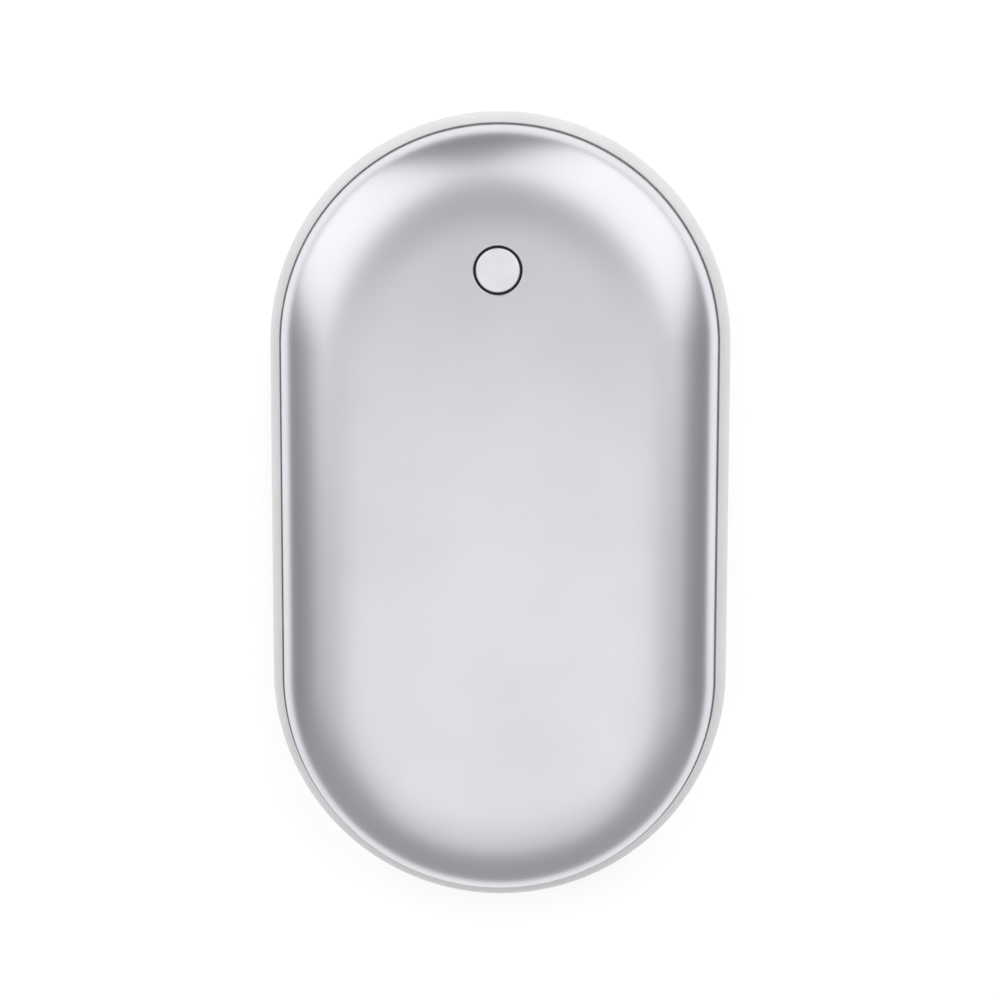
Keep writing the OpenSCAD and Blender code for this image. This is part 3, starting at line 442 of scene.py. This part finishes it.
def bandFlange():
    # the flange's section carried along its runs, with each end drawn to a point in the section
    f, h = flangeSize, flangeSize["half"]
    root = bandSize["inner"] + f["join"]
    section = [[root, h], [root, -h], [f["reach"], -h], [f["reach"], h]]
    first, low, last = (np.radians(np.linspace(*run)) for run in f["ends"])
    n, side = f["sidePoints"], np.linspace(1, -1, f["sidePoints"])
    longTurn = np.concatenate([first, np.full(n, pi), low, np.full(n, 2 * pi), last])
    longAlong = np.concatenate([0 * first + 1, side, 0 * low - 1, side[::-1], 0 * last + 1])
    shortTurn = np.radians(np.linspace(*f["short"]))
    runs = []
    for turn, along in ((longTurn, longAlong), (shortTurn, 0 * shortTurn + 1)):
        middle = np.stack([0 * turn, along * pill["straight"]], 1)
        grid = carried(section, (middle, np.stack([np.cos(turn), np.sin(turn)], 1)))
        ends = grid.mean(0, keepdims=True)[:, [0, -1]].repeat(len(grid), 0)
        runs.append((np.concatenate([ends[:, :1], grid, ends[:, 1:]], 1), True, False, None))
    return runs


def bandLugs():
    # round each chassis screw an eye, and an arm from it to the flange
    g, h, join = lugSize, flangeSize["half"], flangeSize["join"]
    r, lugs = g["radius"], []
    for x, y in ((s * g["x"], t * g["y"]) for s in (-1, 1) for t in (-1, 1)):
        spot = np.array([x, y])
        eye = ringRows(circleRound(spot, g["steps"]), spot,
                       [[r, -h], [r, h], [g["eye"], h], [g["eye"], -h]])
        lugs.append((eye, True, True, None))
        start = np.sign(x) * (g["x"] + g["eye"] + join)
        end = np.sign(x) * (flangeSize["reach"] + join)
        arm = np.array([[[start, y - r, z], [end, y - r, z], [end, y + r, z], [start, y + r, z]]
                        for z in (-h, h)])
        ends = arm.mean(1, keepdims=True).repeat(4, 1)
        lugs.append((np.concatenate([ends[:1], arm, ends[1:]]), False, True, None))
    return lugs


def makeBand(material):
    b, c = bandSize, bandColumns
    angles = np.concatenate([np.linspace(0, c["fineFrom"] - 1, c["before"]),
                             np.arange(c["fineFrom"], c["fineTo"] + c["fineStep"] / 2, c["fineStep"]),
                             np.linspace(c["fineTo"] + 1, 180, c["after"])])
    mid = np.arange(-b["rowsTo"], b["rowsTo"] + tiny, b["rowStep"])
    profile, insideFirst = bandProfile(mid)
    grid = carried(profile, pillLine(angles, b["sideSteps"], b["lowSteps"]))
    keep = np.ones(grid.shape[:2], bool)
    parts = bandOpenings(keep, angles, mid, insideFirst) + bandFlange() + bandLugs()
    makePiece("mid_bandPiece", [(grid, True, True, keep)] + parts, "body", material)


portSize = {"width": 8.94, "height": 3.26, "wall": 0.3, "depth": 7.35, "mouth": 52.0,
            "mouthRound": 0.1, "roundSteps": 4, "endSteps": 24, "plugDepth": 1.7, "sliver": 1e-4}
tongueSize = {"width": 6.69, "thick": 0.7, "back": 1.0, "round": 0.15, "root": 0.1, "endSteps": 6}


def slotOutline(width, height, steps):
    # a slot with round ends, across X and up Z: its right end's half circle, then its left end's
    a = np.linspace(-pi / 2, pi / 2, steps + 1)
    half, r = (width - height) / 2, height / 2
    right = np.stack([half + r * np.cos(a), r * np.sin(a)], 1)
    return np.concatenate([right, -right])


def slotRows(width, height, profile, steps):
    # slots along Y, each narrower all round by an amount: rows of (amount, y)
    grid = []
    for shrink, y in profile:
        xz = slotOutline(width - 2 * shrink, height - 2 * shrink, steps)
        grid.append(np.stack([xz[:, 0], np.full(len(xz), y), xz[:, 1]], 1))
    return np.stack(grid)


def roundedEnd(size, y):
    # a quarter round that ends at y: narrower by size (1 - cos a), at y - size + size sin a
    a = np.radians(np.linspace(0, 90, portSize["roundSteps"] + 1))
    return [(size * (1 - cos(x)), y - size + size * sin(x)) for x in a]


def makePort(steel, plastic):
    # the port's drawn steel tube with a rounded mouth, and the tongue on its plug inside
    p, g = portSize, tongueSize
    back, front = p["mouth"] - p["depth"], p["mouth"]
    mouth = roundedEnd(p["mouthRound"], front)
    inside = [(p["wall"] - s, y) for s, y in mouth[::-1]]
    tube = slotRows(p["width"], p["height"], [(0, back)] + mouth + inside + [(p["wall"], back)],
                    p["endSteps"])
    makePiece("port_shellPiece", [(tube, True, True, None)], "body", steel)
    w, h = p["width"] - 2 * p["wall"], p["height"] - 2 * p["wall"]
    end, closed = back + p["plugDepth"], h / 2 - p["sliver"]
    plug = slotRows(w, h, [(closed, back), (0, back), (0, end), (closed, end)], p["endSteps"])
    tip, root, closed = front - g["back"], end - g["root"], g["thick"] / 2 - p["sliver"]
    tongue = slotRows(g["width"], g["thick"],
                      [(closed, root), (0, root)] + roundedEnd(g["round"], tip) + [(closed, tip)],
                      g["endSteps"])
    makePiece("port_tonguePiece", [(plug, False, True, None), (tongue, False, True, None)],
              "body", plastic)


domeSize = {"radius": 2.3, "high": 0.5, "thick": 0.1, "foot": 0.57, "pressed": 0.45, "steps": 64,
            "rows": 16}


def makeDome(material):
    # the switch's snap dome: two quarter ellipses, r cos a and h sin a, turned round the button's
    # axis.
    d, t = domeSize, domeSize["thick"]
    spot = np.array([0, buttonSize["y"]])
    a = np.linspace(0, pi / 2, d["rows"])
    inner = superQuarter(0, d["foot"], d["radius"] - t, d["high"] - t, 2, a[::-1])
    outer = superQuarter(0, d["foot"], d["radius"], d["high"], 2, a)
    rows = ringRows(circleRound(spot, d["steps"]), spot, np.concatenate([inner, outer]))
    piece = makePiece("switch_domePiece", [(rows, False, True, None)], "body",
                      material)
    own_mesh(piece)


# Finishes of the inner parts, for the record's slots: name, two base colours, metal or not,
# roughness, the grain's size in millimetres, its stretch along X, Y and Z, and the relief's depth
innerLooks = {
    "black_plastic": ("glassFilledNylon", "1C1D1F", "26272A", 0, 0.5, 0.4, (1, 1, 1), 0.004),
    "chassis_plastic": ("mouldedPolycarbonate", "43484B", "4B5053", 0, 0.48, 0.5, (1, 1, 1), 0.006),
    "clear_plastic": ("polishedAcrylic", "EEF2F4", "E4EAEE", 0, 0.12, 1.5, (1, 1, 1), 0.001),
    "adhesive": ("curedSiliconeBead", "A2A2A4", "ACACAE", 0, 0.55, 0.8, (1, 1, 1), 0.02),
    "cell_steel": ("nickelPlatedCan", "CACACB", "BDBDBF", 1, 0.3, 0.5, (1, 0.1, 1), 0.001),
    "insulator": ("pressedFibreInsulator", "EFEFEA", "E2E1DA", 0, 0.7, 0.3, (1, 1, 1), 0.006),
    "nickel": ("rolledNickelStrip", "D6D4D0", "C9C7C2", 1, 0.28, 0.3, (0.08, 1, 1), 0.001),
    "red_insulation": ("redSiliconeInsulation", "B8242A", "A81C22", 0, 0.5, 0.5, (1, 1, 1), 0.004),
    "black_insulation": ("blackSiliconeInsulation", "222224", "2C2C2E", 0, 0.5, 0.5, (1, 1, 1), 0.004),
    "thermistor_glass": ("epoxyBead", "6B3A24", "7A4630", 0, 0.25, 0.6, (1, 1, 1), 0.004),
    "tinned_copper": ("enamelledCopper", "D9CDA8", "C8B98C", 1, 0.3, 0.3, (1, 1, 0.15), 0.001),
    "port_steel": ("drawnNickelSteel", "DADADC", "CFCFD2", 1, 0.22, 0.25, (1, 0.12, 1), 0.0006),
    "gold_plate": ("goldFlash", "EBCB7A", "E2BE66", 1, 0.25, 0.15, (1, 0.2, 1), 0.0004),
    "spring_steel": ("rolledSpringSteel", "D6D6D7", "C8C8CA", 1, 0.3, 0.3, (1, 0.1, 1), 0.001),
    "light_body": ("mouldedLens", "F2F1EC", "EAE8E0", 0, 0.3, 0.3, (1, 1, 1), 0.002),
    "ferrite": ("pressedFerrite", "4A4A4C", "55565A", 0, 0.6, 0.25, (1, 1, 1), 0.01),
    "ceramic_tan": ("firedCeramic", "C8B396", "BCA585", 0, 0.45, 0.3, (1, 1, 1), 0.003),
    "screw_steel": ("zincPlatedSteel", "D2D2D3", "C4C6C8", 1, 0.32, 0.4, (1, 1, 0.2), 0.001),
}
clearLook = {"transmission": 0.75, "ior": 1.49}


def innerFinish(slotName):
    # a moulded, rolled or plated finish: grain in the relief and a slight drift of the colour
    name, first, second, metal, rough, size, stretch, depth = innerLooks[slotName]
    look = {"color": first, "metallic": metal, "roughness": rough}
    if slotName == "clear_plastic":
        look.update(clearLook)
    material, tree, shader, place = newFinish(name, look)
    grain = grainBump(tree, shader, place, size, depth, stretch)
    shaded(tree, shader, grain, first, second)
    return material


def waveScale(spacing):
    # the scale at which a wave texture's crests lie some millimetres apart: 2 pi / (20 spacing)
    return 2 * pi / (20 * spacing * mm)


filmLook = {"color": "C98A35", "track": "9A5E20", "roughness": 0.25, "ior": 1.6, "pitch": 3.156672,
            "sway": 0.4, "trackFrom": 0.55, "trackTo": 0.62, "grain": 0.6, "grainDepth": 0.003}


def heaterFilm():
    # polyimide film over an etched foil track: amber, with the track's darker meanders about
    # 3 mm apart
    look = filmLook
    material, tree, shader, place = newFinish("polyimideHeater", look)
    wave = addNode(tree, "TexWave", {"bands_direction": "X"},
                   {"Vector": place, "Scale": waveScale(look["pitch"]), "Distortion": look["sway"]})
    shaded(tree, shader, wave.outputs["Fac"], look["color"], look["track"], look["trackFrom"],
           look["trackTo"])
    grainBump(tree, shader, place, look["grain"], look["grainDepth"])
    return material


foamLook = {"color": "E6E6E2", "light": "E9E9E5", "dark": "C9C9C4", "roughness": 0.9, "sheen": 0.3,
            "cell": 0.5, "cellDepth": 0.05, "lightTo": 0.2, "darkFrom": 0.8}


def foamPad():
    # closed-cell foam: pale cells of 0.5 mm with darker walls
    look = foamLook
    material, tree, shader, place = newFinish("closedCellFoam", look)
    cells = addNode(tree, "TexVoronoi", None, {"Vector": place, "Scale": 1 / (look["cell"] * mm)})
    walls = cells.outputs["Distance"]
    shaded(tree, shader, walls, look["light"], look["dark"], look["lightTo"], look["darkFrom"])
    bump = addNode(tree, "Bump", None, {"Height": walls, "Distance": look["cellDepth"] * mm})
    tree.links.new(bump.outputs[0], shader.inputs["Normal"])
    return material


sleeveLook = {"color": "2E63A4", "folds": "27588F", "roughness": 0.28, "ior": 1.54, "fold": 1.2,
              "foldDepth": 0.03, "stretch": (1, 0.12, 1)}


def shrunkSleeve():
    # heat-shrunk film on the cells: blue with a few long soft wrinkles along the cell
    look = sleeveLook
    material, tree, shader, place = newFinish("heatShrunkSleeve", look)
    folds = grainBump(tree, shader, place, look["fold"], look["foldDepth"], look["stretch"])
    shaded(tree, shader, folds, look["color"], look["folds"])
    return material


rollLook = {"color": "6E6E70", "light": "7C7C7E", "dark": "525254", "metallic": 0.6,
            "roughness": 0.45, "pitch": 0.690522, "grain": 0.3, "grainDepth": 0.003}


def woundRoll():
    # foils wound on each other: rings 0.7 mm apart round the cell's axis, drawn coarser than real
    look = rollLook
    material, tree, shader, place = newFinish("woundFoils", look)
    rings = addNode(tree, "TexWave", {"wave_type": "RINGS", "rings_direction": "Y"},
                    {"Vector": place, "Scale": waveScale(look["pitch"])})
    shaded(tree, shader, rings.outputs["Fac"], look["light"], look["dark"])
    grainBump(tree, shader, place, look["grain"], look["grainDepth"])
    return material


maskLook = {"color": "1F6B40", "dark": "1C6039", "light": "206A41", "track": "2E8552",
            "roughness": 0.3, "ior": 1.55, "brick": 4.0, "shift": 0.37, "wider": 1.6,
            "widerEvery": 3, "trackShare": 0.05, "trackBlur": 0.1, "weave": 0.8,
            "weaveDepth": 0.004}


def solderMask():
    # glass laminate under green solder mask: the woven glass shows faintly at 0.8 mm, and copper
    # tracks about 0.4 mm wide lighten it
    look = maskLook
    material, tree, shader, place = newFinish("greenSolderMask", look)
    tracks = addNode(tree, "TexBrick", {"offset": look["shift"], "squash": look["wider"],
                                        "squash_frequency": look["widerEvery"]},
                     {"Vector": place, "Scale": 1 / (look["brick"] * mm),
                      "Mortar Size": look["trackShare"], "Mortar Smooth": look["trackBlur"],
                      "Color1": srgb(look["dark"]), "Color2": srgb(look["light"]),
                      "Mortar": srgb(look["track"])})
    tree.links.new(tracks.outputs["Color"], shader.inputs["Base Color"])
    grainBump(tree, shader, place, look["weave"], look["weaveDepth"])
    return material


def makeFinishes():
    # every slot of the record gets its finish, and every part of the frame its slot's finish
    finishes = {"satin_aluminium": satinAluminium(), "pale_plastic": mouldedBand(),
                "button_plastic": paintedButton(), "polyimide": heaterFilm(), "foam": foamPad(),
                "cell_sleeve": shrunkSleeve(), "cell_roll": woundRoll(),
                "board_laminate": solderMask()}
    for slotName in innerLooks:
        finishes[slotName] = innerFinish(slotName)
    for row in frame["record"]["subparts"]:
        mesh = nodes[row["node"]].data
        mesh.materials.clear()
        mesh.materials.append(finishes[row["material_slot"]])
    return finishes


# The floor's colour near the object and far from it, a painted pool of light that falls to painted
# shade further out, its own light, and distances in metres
floorLook = {"color": "FFFFFF", "farShade": "B4B4B6", "roughness": 0.9, "glow": 0.3, "whiteTo": 0.11,
             "greyFrom": 0.3, "rings": (0, 0.1, 0.2, 0.4, 0.8, 1.6, 3.0), "sides": 96,
             "below": 0.00002}


def makeFloor():
    # a floor painted white round the object and grey further out: a painted pool of light round the
    # object, falling off to painted shade
    look = floorLook
    turn = np.linspace(0, 2 * pi, look["sides"], endpoint=False)
    reach = np.array(look["rings"])[:, None]
    grid = np.stack([reach * np.cos(turn), reach * np.sin(turn),
                     0 * reach - look["below"] + 0 * turn], -1)
    faces = gridFaces(len(reach), len(turn), False, True)[:, ::-1]
    mesh = bpy.data.meshes.new("floor")
    mesh.from_pydata(grid.reshape(-1, 3).tolist(), [], faces.tolist())
    floor = bpy.data.objects.new("floor", mesh)
    bpy.context.scene.collection.objects.link(floor)
    material, tree, shader, place = newFinish("matteSheet", look)
    shader.inputs["Specular IOR Level"].default_value = 0.0
    length = addNode(tree, "VectorMath", {"operation": "LENGTH"}, {0: place}).outputs["Value"]
    share = addNode(tree, "MapRange", {"interpolation_type": "SMOOTHERSTEP"},
                    {"Value": length, "From Min": look["whiteTo"], "From Max": look["greyFrom"]})
    # the painted pool of light: white near the object, shading smoothly to the painted shade far out
    paint = shaded(tree, shader, share.outputs[0], look["color"], look["farShade"], 0, 1)
    # the white background: a little light of its own for the camera, mirrors and glass, over which
    # the object's shadow still shows
    rays = addNode(tree, "LightPath").outputs
    seen = rays["Is Camera Ray"]
    for name in ("Is Glossy Ray", "Is Transmission Ray"):
        seen = addNode(tree, "Math", {"operation": "MAXIMUM"}, {0: seen, 1: rays[name]}).outputs[0]
    glow = addNode(tree, "Math", {"operation": "MULTIPLY"}, {0: seen, 1: look["glow"]}).outputs[0]
    tree.links.new(paint, shader.inputs["Emission Color"])
    tree.links.new(glow, shader.inputs["Emission Strength"])
    mesh.materials.append(material)


# Soft lamps, as wide and high as they look from the object: tilt from straight up and turn round Z
# of the middle, half width and half height (degrees), and brightness, where 1 shows a white surface
# as white. They all hang at one distance, in metres.
lampsAway = 0.9
lamps = {
    "overheadWide": {"tilt": -13.5, "turn": 0, "half": (43.6, 13.6), "level": 0.34},
    "overheadNarrow": {"tilt": -19.8, "turn": 0, "half": (21.1, 24.6), "level": 0.51},
    "leftCorner": {"tilt": 57, "turn": 54.3, "half": (22.9, 34), "level": 1.1},
    "rightCorner": {"tilt": 55, "turn": -42.6, "half": (27.2, 35.6), "level": 1.1},
    "lowFill": {"tilt": -56, "turn": 0, "half": (60, 34), "level": 0.12},
}
roomColor = "939395"


def makeLamps():
    # the soft lamps, and a room of one even grey
    for name, lamp in lamps.items():
        data = bpy.data.lights.new(name, "AREA")
        data.shape = "RECTANGLE"
        data.size, data.size_y = (2 * lampsAway * np.tan(radians(h)) for h in lamp["half"])
        data.energy = lamp["level"] * pi * data.size * data.size_y
        light = bpy.data.objects.new(name, data)
        tilt, turn = radians(lamp["tilt"]), radians(lamp["turn"])
        across = Vector((cos(turn), sin(turn), 0))
        away = Vector((-sin(tilt) * sin(turn), sin(tilt) * cos(turn), cos(tilt)))
        turned = Matrix((across, away.cross(across), away)).transposed().to_4x4()
        light.matrix_world = Matrix.Translation(lampsAway * away) @ turned
        bpy.context.scene.collection.objects.link(light)
    world = bpy.data.worlds.new("studio")
    world.use_nodes = True
    world.node_tree.nodes["Background"].inputs["Color"].default_value = srgb(roomColor)
    bpy.context.scene.world = world


# Angles in degrees, distance and clip in metres, shifts of the middle, lens and sensor in mm
cameraView = {"tilt": 6.994, "turn": 1.478, "roll": 0.282, "distance": 0.3, "right": 0.014,
              "up": -0.89, "lens": 80.23, "sensor": 36, "clip": 0.005}


def makeCamera():
    # looks down at the front face from 0.3 m, from a little towards the button end and the right
    view = cameraView
    tilt, turn, roll = (radians(view[key]) for key in ("tilt", "turn", "roll"))
    away = Vector((sin(turn), cos(turn) * sin(tilt), cos(turn) * cos(tilt)))
    up = Vector((0, cos(tilt), -sin(tilt)))
    turned = Matrix((up.cross(away), up, away)).transposed() @ Matrix.Rotation(roll, 3, "Z")
    shift = turned @ Vector((view["right"], view["up"], 0)) * mm
    target = Vector((0, 0, pill["middle"] * mm)) - shift
    data = bpy.data.cameras.new("photoView")
    data.lens, data.sensor_width, data.clip_start = view["lens"], view["sensor"], view["clip"]
    camera = bpy.data.objects.new("photoView", data)
    camera.matrix_world = Matrix.Translation(target + view["distance"] * away) @ turned.to_4x4()
    bpy.context.scene.collection.objects.link(camera)
    bpy.context.scene.camera = camera


makeCamera()
finishes = makeFinishes()
print("finishes made:", len(finishes))
makeShells(finishes["satin_aluminium"])
makeButton(finishes["button_plastic"])
makeBand(finishes["pale_plastic"])
makePort(finishes["port_steel"], finishes["black_plastic"])
makeDome(finishes["spring_steel"])
makeFloor()
makeLamps()
bpy.context.scene.view_settings.view_transform = "Standard"
print("stage set")
